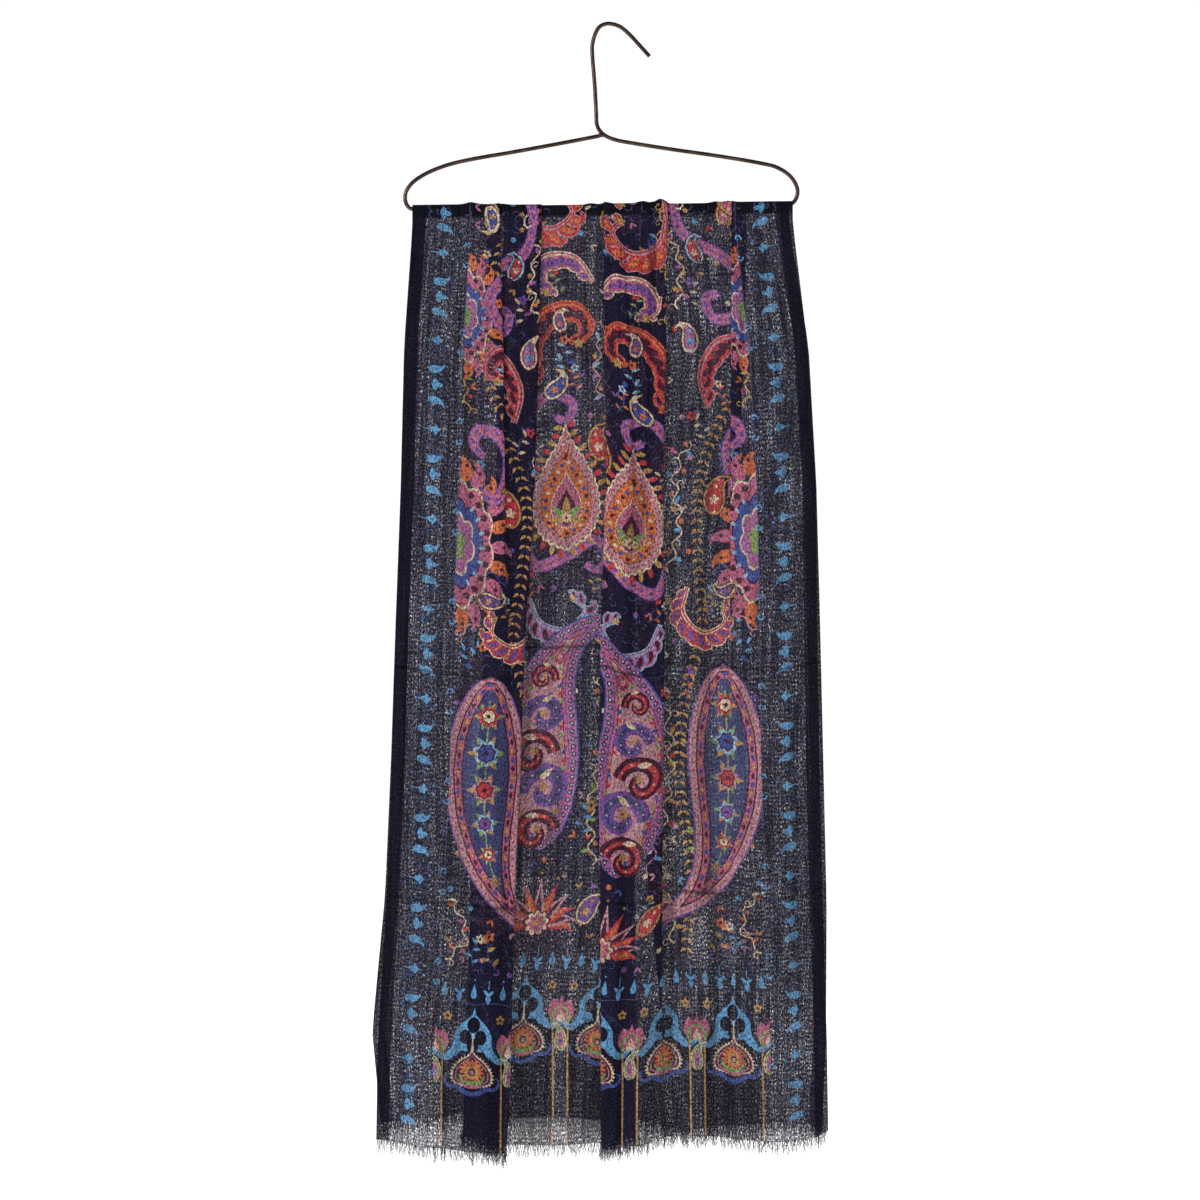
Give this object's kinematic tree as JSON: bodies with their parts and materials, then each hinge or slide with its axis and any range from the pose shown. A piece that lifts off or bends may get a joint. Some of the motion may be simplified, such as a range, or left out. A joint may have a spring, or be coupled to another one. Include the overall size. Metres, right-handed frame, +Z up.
{
  "type": "scarf on a wire hanger",
  "caption": "Long lightweight woven scarf with an allover paisley print and fringed ends, folded in pleats over the bar of a thin wire hanger with an open hook.",
  "frame": {"origin": "inside of the hook's crown, where the hanger rests on a rail", "axes": "+Z up, -Y towards the front of the scarf, +X to the right as seen from the front"},
  "size_m": [0.4874, 0.0579, 1.2218],
  "materials": {
    "hanger_metal": "dark bronze-brown wire with a soft sheen",
    "cloth": "thin open woven cloth in dark navy with a printed paisley design",
    "fringe": "loose warp threads in dark navy"
  },
  "bodies": {
    "root": {"hanger_wire": "hanger_metal", "front_fall": "cloth", "bar_turn": "cloth", "back_fall": "cloth", "front_fringe": "fringe", "back_fringe": "fringe"}
  },
  "joints": []
}
